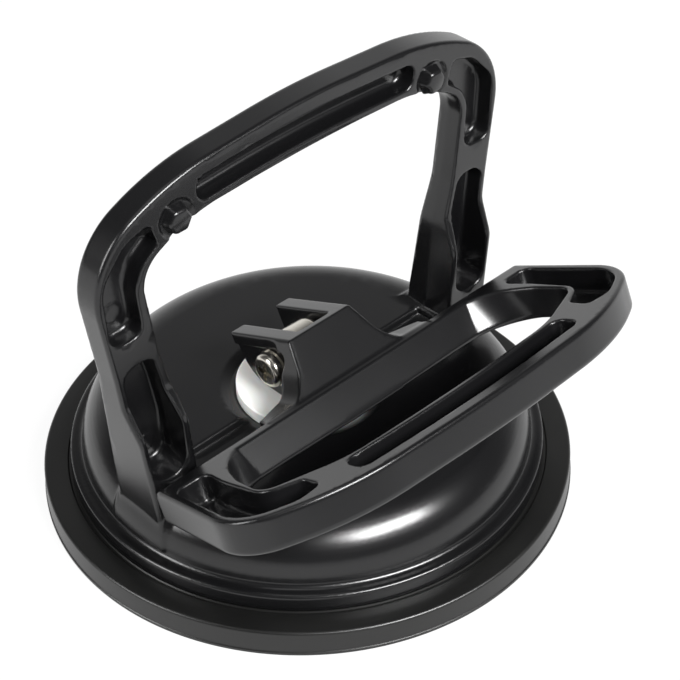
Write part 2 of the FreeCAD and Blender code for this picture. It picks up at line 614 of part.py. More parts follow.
def lever_pockets():
    """Grip slot and the two corner pockets."""
    floor = LEVER_FACE - LEVER_POCKET_DEPTH
    up = V(0, 0, LEVER_POCKET_DEPTH + 1)
    half = LEVER_HALF_WIDTH
    end = 2.5
    outer = LEVER_FRONT - 3.5
    inner = LEVER_WINDOW_FRONT + LEVER_RAIL
    slot = prism(mirrored([(0, outer + 0.8, 300), (GRIP_SLOT_HALF_LENGTH + 0.6, outer - 1.3, end),
                           (GRIP_SLOT_HALF_LENGTH, inner - 1.6, end), (0, inner + 0.6, 300)]), lever_plan(floor), up)
    rear = LEVER_WINDOW_BACK - 0.2
    corner = prism([(half - 12.9, rear, 2.2), (half - 5.0, rear - 0.3, 2.6), (half - 1.3, LEVER_FRONT - 14.7, 10),
                    (half - 11.9, LEVER_FRONT - 8.5, 6), (half - 18.0, LEVER_FRONT - 9.1, 1.8),
                    (half - 18.1, LEVER_FRONT - 14.5, 1.8), (half - 10.9, LEVER_FRONT - 19.0, 5),
                    (half - 11.6, LEVER_WINDOW_FRONT - 21.0, 12)], lever_plan(floor), up)
    mark = Part.makeCylinder(MARK_RADIUS, 1 + MARK_RISE, V(half - 7.6, 5.0 - LEVER_WINDOW_FRONT, floor - 1))
    return both_sides(corner.cut(mark)) + [slot]


def lever():
    body = lever_ring().fuse([centre_profile(-CHEEK_HALF_WIDTH).extrude(V(2 * CHEEK_HALF_WIDTH, 0, 0)), hump_flare()])
    slot = Part.makeBox(2 * CHEEK_GAP, CHEEK_SLOT_FRONT - CHEEK_TAIL + 10, 30,
                        V(-CHEEK_GAP, -CHEEK_SLOT_FRONT, LEVER_FACE - LEVER_THICKNESS - 1))
    bore = Part.makeCylinder(SCREW_RADIUS + SCREW_FIT, 40, V(-20, 0, 0), V(1, 0, 0))
    return one(in_lever(body.cut([slot, bore] + cheek_recess() + lever_pockets())))


# ---------------------------------------------------------------- pivot hardware
def pivot_screw():
    """M4 pan-head screw with a cross recess, its head on the left."""
    seat = -CHEEK_SEAT - PIVOT_WASHER_THICKNESS
    head = Part.makeCylinder(SCREW_HEAD_RADIUS, SCREW_HEAD_HEIGHT, V(seat, 0, PIVOT_HEIGHT), V(-1, 0, 0))
    crown = [e for e in head.Edges if abs(e.CenterOfMass.x - (seat - SCREW_HEAD_HEIGHT)) < 1e-6]
    head = head.makeFillet(1.2, crown)
    shank = Part.makeCylinder(SCREW_RADIUS, SCREW_END - seat, V(seat, 0, PIVOT_HEIGHT), V(1, 0, 0))
    face = seat - SCREW_HEAD_HEIGHT
    arms = [Part.makeBox(CROSS_DEPTH, CROSS_SPAN, CROSS_WIDTH, V(face, -CROSS_SPAN / 2, PIVOT_HEIGHT - CROSS_WIDTH / 2)),
            Part.makeBox(CROSS_DEPTH, CROSS_WIDTH, CROSS_SPAN, V(face, -CROSS_WIDTH / 2, PIVOT_HEIGHT - CROSS_SPAN / 2))]
    return one(head.fuse(shank).cut(arms))


def pivot_washer(side):
    start = V(side * CHEEK_SEAT, 0, PIVOT_HEIGHT)
    disc = Part.makeCylinder(PIVOT_WASHER_RADIUS, PIVOT_WASHER_THICKNESS, start, V(side, 0, 0))
    return one(disc.cut(Part.makeCylinder(SCREW_RADIUS + SCREW_FIT, PIVOT_WASHER_THICKNESS, start, V(side, 0, 0))))


def pivot_nut():
    start = V(CHEEK_SEAT + PIVOT_WASHER_THICKNESS, 0, PIVOT_HEIGHT)
    nut = hexagon(PIVOT_NUT_FLATS, PIVOT_NUT_HEIGHT, start, V(1, 0, 0))
    return one(nut.cut(Part.makeCylinder(SCREW_RADIUS + THREAD_CLEARANCE, PIVOT_NUT_HEIGHT, start, V(1, 0, 0))))


# ---------------------------------------------------------------- write one STEP per sub-part
def build():
    pegs = peg_places()
    return {
        "cup_body": cup_body(),
        "suction_pad": suction_pad(),
        "wear_washer": wear_washer(),
        "left_stop_peg": stop_peg(pegs["left"]),
        "right_stop_peg": stop_peg(pegs["right"]),
        "return_spring": return_spring(),
        "pull_stud": pull_stud(),
        "pad_insert_plate": pad_insert_plate(),
        "insert_nut": insert_nut(),
        "lever": lever(),
        "pivot_screw": pivot_screw(),
        "pivot_nut": pivot_nut(),
        "screw_washer": pivot_washer(-1),
        "nut_washer": pivot_washer(1),
    }


os.makedirs("parts", exist_ok=True)
for node, shape in build().items():
    shape.exportStep("parts/" + node + ".step")
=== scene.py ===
"""Looks of the single-cup suction lifter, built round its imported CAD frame.

The two plastic mouldings are worked out as distance fields in millimetres, so that every edge, pocket and
root gets the radius that a mould gives it, and openvdb then skins them. The pad is lathed, the stop pegs are
lofted and the spring is wound by Geometry Nodes.
"""
import math

import bmesh
import bpy
import numpy as np
import openvdb
from mathutils import Matrix, Vector


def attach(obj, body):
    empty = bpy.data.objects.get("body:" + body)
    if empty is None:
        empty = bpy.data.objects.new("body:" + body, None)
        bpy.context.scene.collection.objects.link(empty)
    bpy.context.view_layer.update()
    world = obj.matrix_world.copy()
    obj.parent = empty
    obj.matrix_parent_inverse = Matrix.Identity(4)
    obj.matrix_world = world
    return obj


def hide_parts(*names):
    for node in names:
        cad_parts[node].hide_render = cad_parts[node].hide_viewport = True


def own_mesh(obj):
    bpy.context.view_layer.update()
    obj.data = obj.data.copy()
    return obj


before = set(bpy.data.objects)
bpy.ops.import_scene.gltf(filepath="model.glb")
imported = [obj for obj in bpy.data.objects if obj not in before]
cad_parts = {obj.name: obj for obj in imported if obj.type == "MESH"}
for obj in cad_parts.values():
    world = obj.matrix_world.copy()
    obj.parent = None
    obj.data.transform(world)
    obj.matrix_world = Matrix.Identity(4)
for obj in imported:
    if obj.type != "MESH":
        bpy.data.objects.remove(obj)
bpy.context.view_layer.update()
MM = 0.001
CUP_STEP, LEVER_STEP = 0.45, 0.34       # spacing of the distance fields, mm
FLAT_MERGE = 0.003                      # joins cells where the surface is flat, and only there


# ---------------------------------------------------------------- flat outlines
def rounded(points, arc_step=6.0):
    """Corner points (a, b, radius) of a closed outline, each corner turned into short chords."""
    out = []
    count = len(points)
    for i, (a, b, radius) in enumerate(points):
        corner = np.array([a, b], float)
        before = np.array(points[i - 1][:2], float) - corner
        after = np.array(points[(i + 1) % count][:2], float) - corner
        before /= np.linalg.norm(before)
        after /= np.linalg.norm(after)
        half = math.acos(np.clip(before @ after, -1, 1)) / 2
        if radius == 0 or half > math.radians(89.9):
            out.append(corner)
            continue
        middle = (before + after) / np.linalg.norm(before + after)
        centre = corner + middle * radius / math.sin(half)
        start = corner + before * radius / math.tan(half) - centre
        end = corner + after * radius / math.tan(half) - centre
        sweep = math.atan2(start[0] * end[1] - start[1] * end[0], start @ end)
        chords = max(2, int(abs(math.degrees(sweep)) / arc_step * max(1.0, radius / 12) + 0.5))
        for k in range(chords + 1):
            turn = sweep * k / chords
            spin = np.array([[math.cos(turn), -math.sin(turn)], [math.sin(turn), math.cos(turn)]])
            out.append(centre + spin @ start)
    return np.array(out)


def mirrored(right_half):
    """Full outline from its right half, which starts and ends on or beside the middle line."""
    return right_half + [(-a, b, radius) for a, b, radius in reversed(right_half) if a != 0]


# ---------------------------------------------------------------- distance fields
def flat_field(outline, a, b):
    """Signed distance to a closed outline over the grid a by b, negative inside."""
    grid_a, grid_b = np.meshgrid(a, b, indexing="ij")
    nearest = np.full(grid_a.shape, 1e9)
    inside = np.zeros(grid_a.shape, bool)
    for (a0, b0), (a1, b1) in zip(outline, np.roll(outline, -1, axis=0)):
        da, db = a1 - a0, b1 - b0
        if da * da + db * db < 1e-12:
            continue
        along = np.clip(((grid_a - a0) * da + (grid_b - b0) * db) / (da * da + db * db), 0, 1)
        nearest = np.minimum(nearest, (grid_a - a0 - along * da) ** 2 + (grid_b - b0 - along * db) ** 2)
        if db != 0:
            crosses = (b0 > grid_b) != (b1 > grid_b)
            inside ^= crosses & (grid_a < a0 + (grid_b - b0) * da / db)
    return (np.where(inside, -1.0, 1.0) * np.sqrt(nearest)).astype(np.float32)


def meet(a, b, radius=0.0):
    """Where both shapes are, with the edge between them rounded to radius."""
    corner = np.hypot(np.maximum(a + radius, 0), np.maximum(b + radius, 0))
    return np.minimum(-radius, np.maximum(a, b)) + corner


def join(a, b, radius=0.0):
    """Where either shape is, with the inside corner between them filleted to radius."""
    return -meet(-a, -b, radius)


def carve(body, tool, radius=0.0):
    return meet(body, -tool, radius)


def sample(field, spots):
    """Trilinear reading of a field at fractional grid positions."""
    base = np.clip(np.floor(spots).astype(int), 0, np.array(field.shape) - 2)
    share = spots - base
    total = np.zeros(len(spots))
    for corner in np.ndindex(2, 2, 2):
        weight = np.prod(np.where(corner, share, 1 - share), axis=1)
        spot = base + corner
        total += weight * field[spot[:, 0], spot[:, 1], spot[:, 2]]
    return total


HALF_CELLS = np.eye(3) * 0.5


def skin(name, blocks, step, place=lambda p: p):
    """Closed mesh on the zero level of (field, first cell) blocks, shaded from the field's own slope."""
    grid = openvdb.FloatGrid()
    grid.background = 10.0
    for field, start in blocks:
        grid.copyFromArray(np.ascontiguousarray(field, np.float32), ijk=tuple(int(v) for v in start))
    points, triangles, quads = grid.convertToPolygons(isovalue=0.0, adaptivity=FLAT_MERGE)
    points = np.array(points, float)
    slope = np.zeros_like(points)
    for field, start in blocks:
        spots = points - start
        held = np.all((spots >= 1) & (spots <= np.array(field.shape) - 2), axis=1)
        spots = spots[held]
        for _ in range(2):
            pull = [sample(field, spots + way) - sample(field, spots - way) for way in HALF_CELLS]
            pull = np.stack(pull, axis=1)
            pull /= np.maximum(np.linalg.norm(pull, axis=1, keepdims=True), 1e-9)
            spots = spots - pull * np.clip(sample(field, spots) / step, -0.5, 0.5)[:, None]
        points[held] = spots + start
        slope[held] = pull
    world = place(points * step)
    normals = place(points * step + slope) - world
    faces = [tuple(f) for f in np.array(triangles)] + [tuple(f) for f in np.array(quads)]
    mesh = bpy.data.meshes.new(name)
    mesh.from_pydata((world * MM).tolist(), [], faces)
    mesh.validate()
    check = bmesh.new()
    check.from_mesh(mesh)
    if check.calc_volume(signed=True) < 0:
        bmesh.ops.reverse_faces(check, faces=check.faces)
        check.to_mesh(mesh)
    check.free()
    mesh.shade_smooth()
    mesh.normals_split_custom_set_from_vertices(normals.tolist())
    piece = bpy.data.objects.new(name, mesh)
    bpy.context.scene.collection.objects.link(piece)
    return piece


def both_halves(half):
    """Whole field from its half on the right of the middle plane."""
    return np.concatenate([half[:0:-1], half], axis=0)


def cells(low, high, step):
    """Whole cell numbers that cover low to high, in millimetres."""
    return np.arange(math.floor(low / step), math.ceil(high / step) + 1)


# ---------------------------------------------------------------- moulded cup with its arch
ARCH_TOP, ARCH_HALF, ARCH_FRONT, ARCH_BACK = 99.2, 55.9, -4.4, 2.4
LEG_FRONT, LEG_BACK, FOOT = -8.0, 5.6, 8.0
POCKET_FLOOR, POCKET_ROOT, POCKET_LIP, POCKET_DRAFT = -0.2, 1.2, 0.35, 0.03
PARTING_LINE, WINDOW_DRAFT = -0.8, 0.06
MARK_RADIUS, MARK_PROUD, MARK_EDGE = 2.2, 0.3, 0.15      # ejector marks on the pockets' floors
PEG_X, PEG_Z, PEG_DISH, PEG_DISH_DEPTH = 35.0, 87.7, 4.3, 0.6
FLANGE, FLANGE_FOOT, FLANGE_TOP = 53.4, 6.2, 10.4
FLANK, SHOULDER, DOME_TOP = 50.4, 11.5, 23.2
INSIDE, CEILING, RIB_FOOT, RIB_HALF, SPRING_RING, RIBS = 47.4, 20.2, 10.2, 1.0, 13.6, 8
STUD_BORE = 4.08


def turned(outline, r, z):
    """Field of a body of revolution from its radius-height outline."""
    reach = np.arange(0, r.max() + 2 * CUP_STEP, CUP_STEP)
    flat = flat_field(outline, reach, z)
    place = r / CUP_STEP
    base = np.minimum(place.astype(int), len(reach) - 2)
    share = (place - base)[..., None].astype(np.float32)
    return flat[base] * (1 - share) + flat[base + 1] * share


def cup_field(i, j, k):
    """Field of the cup and arch at cell numbers i, j, k."""
    x, y, z = i * CUP_STEP, j * CUP_STEP, k * CUP_STEP
    zs = z[None, None, :]
    low = z.max() < 35
    arch = arch_field(x, y, z)
    if not low:
        return arch.astype(np.float32)
    r = np.hypot(x[:, None], y[None, :])
    body = join(dome_field(x, y, z, r), arch, 0.8)
    body = carve(body, hollow_field(x, y, z, r), 0.4)
    return carve(body, r[..., None] - STUD_BORE + 0 * zs, 0.2).astype(np.float32)


def arch_field(x, y, z):
    """Arch handle with its hand window, cored pockets and peg seats."""
    xs, ys, zs = x[:, None, None], y[None, :, None], z[None, None, :]
    half = ARCH_HALF
    outline = flat_field(rounded(mirrored([
        (0, ARCH_TOP + 0.3, 170), (0.66 * half, ARCH_TOP - 2.1, 55), (half + 1.4, ARCH_TOP - 13.0, 18),
        (half - 2.7, 56.5, 60), (half - 8.0, FOOT, 0)])), x, z)
    window = flat_field(rounded(mirrored([
        (0, 87.9, 400), (0.56 * half, 86.5, 30), (half - 11.2, 79.6, 8.0), (half - 14.0, 58.0, 25),
        (half - 16.7, 46.6, 20), (half - 18.3, 27.0, 20), (half - 18.6, 0.0, 0)])), x, z)
    side = flat_field(rounded([
        (ARCH_FRONT, 110, 0), (ARCH_FRONT, 49.2, 6), (LEG_FRONT, 41.6, 6), (LEG_FRONT, FOOT, 0),
        (LEG_BACK, FOOT, 0), (LEG_BACK, DOME_TOP, 20), (ARCH_BACK, 57.2, 40), (ARCH_BACK, 110, 0)]), y, z)
    # The front edges are crisper than the back ones, which the hand closes on.
    edge = np.interp(y, [-2.5, 0.0], [0.8, 1.0]).astype(np.float32)[None, :, None]
    inner_edge = np.interp(y, [-2.5, 0.0], [0.5, 0.9]).astype(np.float32)[None, :, None]
    # The window's walls draft both ways from the mould's parting line, which shows as a faint ridge.
    drafted = WINDOW_DRAFT * np.abs(ys - PARTING_LINE) - 0.12 - window[:, None, :]
    arch = meet(meet(outline[:, None, :], side[None], edge), drafted, inner_edge)
    draft = POCKET_DRAFT * (ys - ARCH_FRONT)
    for pocket in arch_pockets(half):
        flat = flat_field(pocket, x, z)[:, None, :]
        arch = carve(arch, meet(flat + draft, ys - POCKET_FLOOR + 0 * flat, POCKET_ROOT), POCKET_LIP)
    for mark_x, mark_z in ((half - 6.2, ARCH_TOP - 28.6), (half - 10.9, 34.2)):
        disc = np.maximum(np.hypot(xs - mark_x, zs - mark_z) - MARK_RADIUS, ys - POCKET_FLOOR - 0.8)
        arch = join(arch, meet(disc, POCKET_FLOOR - MARK_PROUD - ys, MARK_EDGE), MARK_EDGE)
    dish = np.hypot(xs - PEG_X, zs - PEG_Z) - PEG_DISH
    seat = meet(dish + 0.4 * (ys - ARCH_FRONT), ys - ARCH_FRONT - PEG_DISH_DEPTH, 0.4)
    return carve(arch, seat, 0.3)


def arch_pockets(half):
    """Outlines (x, z) of the grip slot and of the right side's shoulder and leg pockets."""
    slot = rounded(mirrored([
        (0, 95.95, 300), (0.53 * half, 93.95, 2.65), (0.53 * half, 88.25, 2.65), (0, 90.05, 300)]))
    shoulder = rounded([
        (40.0, 84.3, 0.9), (41.6, 89.6, 1.6), (half - 8.1, 87.6, 6), (half - 1.8, 80.5, 8),
        (half - 2.5, 65.2, 3), (half - 10.4, 65.6, 2.6), (half - 9.5, 76.6, 6), (half - 11.5, 81.0, 4)])
    leg = rounded([
        (half - 11.9, 58.6, 3), (half - 4.2, 58.8, 3.4), (half - 5.5, 46.3, 30), (half - 7.1, 29.6, 3.2),
        (half - 15.6, 29.0, 3.6), (half - 15.2, 41.6, 14), (half - 13.4, 51.9, 20)])
    return slot, shoulder, leg


def dome_field(x, y, z, r):
    """Dome and flange with the feet's plinths, the relief under the lever and the washer's bowl."""
    xs, ys, zs = x[:, None, None], y[None, :, None], z[None, None, :]
    foot = ARCH_HALF - 19.0
    dome = turned(rounded([
        (0, FLANGE_FOOT, 0), (FLANGE, FLANGE_FOOT, 0.3), (FLANGE, FLANGE_TOP, 0.7), (FLANK, FLANGE_TOP, 1.2),
        (FLANK, DOME_TOP, SHOULDER), (0, DOME_TOP, 0)]), r, z)
    raised = turned(rounded([
        (0, FLANGE_FOOT, 0), (FLANK + 0.4, FLANGE_FOOT, 0), (FLANK + 0.4, DOME_TOP + 0.4, SHOULDER + 0.4),
        (0, DOME_TOP + 0.4, 0)]), r, z)
    box = np.maximum(np.maximum(foot - xs, xs - 60.0), np.abs(ys + 1.2) - 7.9)
    plinth = meet(meet(raised, box + 0 * zs, 0.4), 12.0 - zs + 0 * box)
    dome = join(dome, plinth, 0.8)
    relief_side = flat_field(rounded([
        (1.0, 30, 0), (1.0, DOME_TOP, 0), (0.25, 21.7, 0.3), (-13.0, 21.7, 0.8), (-14.5, 30, 0)]), y, z)
    relief = meet(relief_side[None], xs - foot + 0.4 + 0 * relief_side[None], 0.4)
    bowl = turned(rounded([
        (0, 21.5, 0), (15.8, 21.5, 0.3), (16.2, 22.2, 0.5), (18.5, DOME_TOP, 0), (20.5, 30, 0),
        (0, 30, 0)]), r, z)
    return carve(carve(dome, relief, 0.3), bowl, 0.4)


def hollow_field(x, y, z, r):
    """Hollow under the dome, less the ribs, the spring's ring and the stud's guide."""
    zs = z[None, None, :]
    hollow = turned(rounded([
        (0, 3, 0), (INSIDE, 3, 0), (INSIDE, CEILING, 8.5), (21.5, CEILING, 0.5), (18.5, 18.5, 0.5),
        (0, 18.5, 0)]), r, z)
    keep = meet(np.abs(r - SPRING_RING)[..., None] - RIB_HALF, 12.0 - zs)
    keep = join(keep, meet(r[..., None] - 6.5, 15.2 - zs))
    for n in range(RIBS // 2):
        turn = 2 * math.pi * (n + 0.5) / RIBS
        across = np.abs(x[:, None] * math.sin(turn) - y[None, :] * math.cos(turn)) - RIB_HALF
        rib = meet(np.maximum(across, SPRING_RING - r)[..., None], RIB_FOOT - zs)
        keep = join(keep, rib)
    return carve(hollow, keep, 0.4)


def cup_and_arch():
    """The cup's moulding, in a wide block round the dome and a thin one round the arch."""
    i = cells(0, 58.5, CUP_STEP)
    j_wide, k_low = cells(-55, 55, CUP_STEP), cells(4.5, 29, CUP_STEP)
    j_thin, k_high = cells(-9.5, 7.5, CUP_STEP), cells(29, 100.6, CUP_STEP)[1:]
    k_high = np.arange(k_low[-1] + 1, k_high[-1] + 1)
    low = both_halves(cup_field(i, j_wide, k_low))
    high = both_halves(cup_field(i, j_thin, np.concatenate([k_low[-3:], k_high])))
    blocks = [(low, (-i[-1], j_wide[0], k_low[0])), (high, (-i[-1], j_thin[0], k_low[-3]))]
    return skin("cup_and_arch", blocks, CUP_STEP)


# ---------------------------------------------------------------- moulded lever
PIVOT, TILT = 32.6, math.radians(24.3)
LEVER_HALF, LEVER_FRONT, LEVER_FACE, LEVER_UNDER, LEVER_BACK = 56.9, 58.7, -3.9, -11.9, 11.0
CHEEK, CHEEK_TOP, HUB_FRONT = 8.9, 7.3, 9.2
HUB_SLOPE = 0.531                       # the hub's front runs this much forward per millimetre down
SWING, LIFT, CAM_REST = math.radians(61.9), 3.8, 8.05
LEVER_POCKET_FLOOR = -9.9
SLIT_HALF, SLIT_END, PIVOT_BORE, CHEEK_SKIN = 4.6, 7.0, 2.05, 8.1


def lever_to_world(p):
    """From (x, along the lever, square to its face) to the released lever's place."""
    x, t, n = p.T
    sine, cosine = math.sin(TILT), math.cos(TILT)
    return np.stack([x, n * sine - t * cosine, PIVOT + t * sine + n * cosine], axis=1)


def heel_curve():
    """Involute of the cam that lifts the stud 3.8 mm over 61.9 degrees, then its locking flat."""
    rate = LIFT / SWING
    points = []
    for share in np.linspace(0, 1, 17):
        angle = SWING * share
        reach = CAM_REST + rate * angle
        y = reach * math.sin(angle) + rate * math.cos(angle)
        z = -reach * math.cos(angle) + rate * math.sin(angle)
        points.append((z * math.sin(TILT) - y * math.cos(TILT), y * math.sin(TILT) + z * math.cos(TILT)))
    return points


def hub_profile():
    """Outline (t, n) of the hub: its top, its front slope, the lever's underside and the cams' heel."""
    underside = -(CAM_REST + LEVER_UNDER * math.cos(TILT)) / math.sin(TILT)
    locked = TILT + SWING
    tail = -(CAM_REST + LIFT + CHEEK_TOP * math.cos(locked)) / math.sin(locked)
    return np.array([(tail, CHEEK_TOP), (HUB_FRONT, CHEEK_TOP), (19.4, LEVER_UNDER),
                     (underside, LEVER_UNDER)] + heel_curve())


def ring_field(x, t, n, half):
    """D-shaped ring with its bevelled back and cored pockets, before the finger window is cut."""
    xs, ts, ns = x[:, None, None], t[None, :, None], n[None, None, :]
    outer = flat_field(rounded(mirrored([
        (0, LEVER_FRONT + 0.6, 280), (0.66 * half, LEVER_FRONT - 1.3, 50),
        (half + 1.15, LEVER_FRONT - 13.6, 13), (half - 3.9, LEVER_BACK, 2)])), x, t)
    slab = np.abs(ns - (LEVER_FACE + LEVER_UNDER) / 2) - (LEVER_FACE - LEVER_UNDER) / 2
    outer_edge = np.interp(n, [-9.0, -7.0], [1.4, 0.8]).astype(np.float32)[None, None, :]
    ring = meet(outer[..., None] + 0 * ns, slab + 0 * xs + 0 * ts, outer_edge)
    facet = (ts - LEVER_BACK) * 0.625 - (ns - LEVER_FACE + 2.0) * 0.78
    ring = meet(ring, -facet + 0 * xs, 0.5)
    draft = POCKET_DRAFT * (LEVER_FACE - ns)
    slot = rounded(mirrored([(0, 56.0, 300), (31.6, 53.9, 2.5), (31.0, 47.4, 2.5), (0, 49.6, 300)]))
    corner = rounded([
        (half - 12.9, 18.1, 2.2), (half - 5.0, 17.8, 2.6), (half - 1.3, 44.0, 10), (half - 11.9, 50.2, 6),
        (half - 18.0, 49.6, 1.8), (half - 18.1, 44.2, 1.8), (half - 10.9, 39.7, 5), (half - 11.6, 25.8, 12)])
    for pocket in (slot, corner):
        flat = flat_field(pocket, x, t)[..., None]
        hole = meet(flat + draft, LEVER_POCKET_FLOOR - ns + 0 * flat, POCKET_ROOT)
        ring = carve(ring, hole, POCKET_LIP)
    mark = np.hypot(xs - (half - 7.6), ts - 41.8) - MARK_RADIUS
    mark = np.maximum(mark, LEVER_POCKET_FLOOR - 0.8 - ns)
    return join(ring, meet(mark, ns - LEVER_POCKET_FLOOR - MARK_PROUD, MARK_EDGE), MARK_EDGE)


def finger_window(x, t, n, half):
    """Opening for the fingers; its back wall carries on the slope of the hub's front."""
    front = LEVER_FRONT - 11.9
    plan = flat_field(rounded(mirrored([
        (0, front + 0.8, 300), (0.51 * half, front - 0.6, 25), (half - 11.7, front - 8.0, 4.5),
        (half - 13.3, front - 18.2, 12), (half - 19.8, 12.0, 0), (0, 12.0, 0)])), x, t)
    slope = HUB_FRONT + HUB_SLOPE * (CHEEK_TOP - n[None, None, :]) - t[None, :, None]
    slope = slope / math.hypot(1, HUB_SLOPE)
    return meet(plan[..., None] + 0 * n[None, None, :], slope + 0 * x[:, None, None], 8.0)


def hub_field(x, t, n):
    """Cheeks and cams, flared on both sides into the ring's back bar."""
    xs, ts, ns = x[:, None, None], t[None, :, None], n[None, None, :]
    profile = flat_field(hub_profile(), t, n)[None] + 0 * xs
    centre = meet(profile, xs - CHEEK + 0 * profile, 0.5)
    bell = flat_field(rounded([
        (-9, 9.0, 0), (CHEEK - 0.2, CHEEK_TOP + 0.6, 0), (CHEEK + 2.5, 0.6, 8),
        (CHEEK + 6.0, LEVER_FACE + 0.5, 5), (24.0, LEVER_FACE, 0), (24.0, LEVER_UNDER, 0),
        (-9, LEVER_UNDER, 0)]), x, n)
    plan = flat_field(rounded([
        (-9, 0.5, 0), (CHEEK, 0.5, 0), (CHEEK + 0.4, 4.0, 3), (15.0, 8.4, 8), (24.0, LEVER_BACK, 0),
        (24.0, 18.3, 0), (-9, 20.4, 0)]), x, t)
    flare = meet(meet(bell[:, None, :] + 0 * ts, plan[..., None] + 0 * ns, 0.6), profile, 0.6)
    return np.minimum(flare, centre)


def lever_field(i, j, k):
    """Field of the lever at cell numbers i, j, k of (x, t, n)."""
    x, t, n = i * LEVER_STEP, j * LEVER_STEP, k * LEVER_STEP
    xs, ts, ns = x[:, None, None], t[None, :, None], n[None, None, :]
    inner_edge = np.interp(n, [-9.0, -7.0], [1.4, 0.6]).astype(np.float32)[None, None, :]
    body = join(ring_field(x, t, n, LEVER_HALF), hub_field(x, t, n), 0.8)
    body = meet(body, -finger_window(x, t, n, LEVER_HALF), inner_edge)
    slit = meet(xs - SLIT_HALF + 0 * ts, ts - SLIT_END, 0.6) + 0 * ns
    body = carve(body, slit, 0.4)
    recess = flat_field(rounded([
        (-30, 4.4, 0), (7.6, 4.4, 1.5), (6.4, 0.8, 8), (1.5, -5.8, 6), (-3.6, -12.0, 0),
        (-30, -12.0, 0)]), t, n)
    body = carve(body, meet(recess[None] + 0 * xs, CHEEK_SKIN - xs + 0 * recess[None], 0.3), 0.3)
    return carve(body, np.hypot(ts, ns) - PIVOT_BORE + 0 * xs, 0.2).astype(np.float32)


def lever_frame():
    """The lever's moulding, worked out flat and set at the released lever's tilt."""
    i, j, k = cells(0, 59.5, LEVER_STEP), cells(-14, 61.5, LEVER_STEP), cells(-13.5, 8.8, LEVER_STEP)
    return skin("lever_frame", [(both_halves(lever_field(i, j, k)), (-i[-1], j[0], k[0]))], LEVER_STEP,
                lever_to_world)


# ---------------------------------------------------------------- materials
def srgb(code):
    """Linear colour of an sRGB hex code."""
    values = [int(code[i:i + 2], 16) / 255 for i in (0, 2, 4)]
    return tuple(v / 12.92 if v <= 0.04045 else ((v + 0.055) / 1.055) ** 2.4 for v in values) + (1.0,)


def add(tree, kind, links=(), **settings):
    """Adds a node with its input values or attributes, and links its inputs from other nodes' outputs."""
    node = tree.nodes.new(kind)
    for name, value in settings.items():
        socket = next((s for s in node.inputs if s.name.replace(" ", "_") == name), None)
        if socket is not None:
            socket.default_value = value
        else:
            setattr(node, name, value)
    for name, source, output in links:
        tree.links.new(source.outputs[output], node.inputs[name])
    return node


def new_material(name):
    material = bpy.data.materials.new(name)
    material.use_nodes = True
    material.node_tree.nodes.clear()
    return material, material.node_tree


def finish_surface(tree, shader):
    add(tree, "ShaderNodeOutputMaterial", [("Surface", shader, 0)])


def moulded_abs():
    """Injection-moulded black ABS, spark-eroded satin: a soft sheen that spreads every light."""
    material, tree = new_material("moulded_black_ABS")
    place = add(tree, "ShaderNodeTexCoord")
    # Spark erosion leaves fine pits; drawn 0.25 mm apart, they take the mirror off the gloss.
    pits = add(tree, "ShaderNodeTexNoise", [("Vector", place, "Object")], Scale=4000.0, Detail=2.0)
    # Slow waviness, 25 mm across, from shrinkage over the thick ribs.
    waves = add(tree, "ShaderNodeTexNoise", [("Vector", place, "Object")], Scale=40.0, Detail=2.0)
    shade = add(tree, "ShaderNodeValToRGB", [("Fac", waves, "Fac")])
    shade.color_ramp.elements[0].color = srgb("0b0b0c")
    shade.color_ramp.elements[1].color = srgb("0f0f10")
    gloss = add(tree, "ShaderNodeMapRange", [("Value", waves, "Fac")], To_Min=0.21, To_Max=0.28)
    # Mould corners are never sharp: every edge gets a 0.35 mm radius, which catches a thin line of light.
    soft_edge = add(tree, "ShaderNodeBevel", samples=6, Radius=0.00035)
    bump = add(tree, "ShaderNodeBump", [("Height", pits, "Fac"), ("Normal", soft_edge, "Normal")],
               Strength=0.05, Distance=0.00002)
    shader = add(tree, "ShaderNodeBsdfPrincipled",
                 [("Base Color", shade, "Color"), ("Roughness", gloss, "Result"), ("Normal", bump, "Normal")],
                 IOR=1.53)
    finish_surface(tree, shader)
    return material


def pad_rubber():
    """Moulded nitrile rubber: black, a little greyer and duller than the plastic."""
    material, tree = new_material("moulded_nitrile_rubber")
    place = add(tree, "ShaderNodeTexCoord")
    # Mould blast texture, drawn 0.4 mm across.
    grain = add(tree, "ShaderNodeTexNoise", [("Vector", place, "Object")], Scale=2500.0, Detail=3.0)
    bloom = add(tree, "ShaderNodeTexNoise", [("Vector", place, "Object")], Scale=60.0, Detail=4.0)
    shade = add(tree, "ShaderNodeValToRGB", [("Fac", bloom, "Fac")])
    shade.color_ramp.elements[0].color = srgb("0b0b0b")
    shade.color_ramp.elements[1].color = srgb("111110")
    gloss = add(tree, "ShaderNodeMapRange", [("Value", bloom, "Fac")], To_Min=0.3, To_Max=0.4)
    bump = add(tree, "ShaderNodeBump", [("Height", grain, "Fac")], Strength=0.12, Distance=0.00003)
    shader = add(tree, "ShaderNodeBsdfPrincipled",
                 [("Base Color", shade, "Color"), ("Roughness", gloss, "Result"), ("Normal", bump, "Normal")],
                 IOR=1.52)
    finish_surface(tree, shader)
    return material


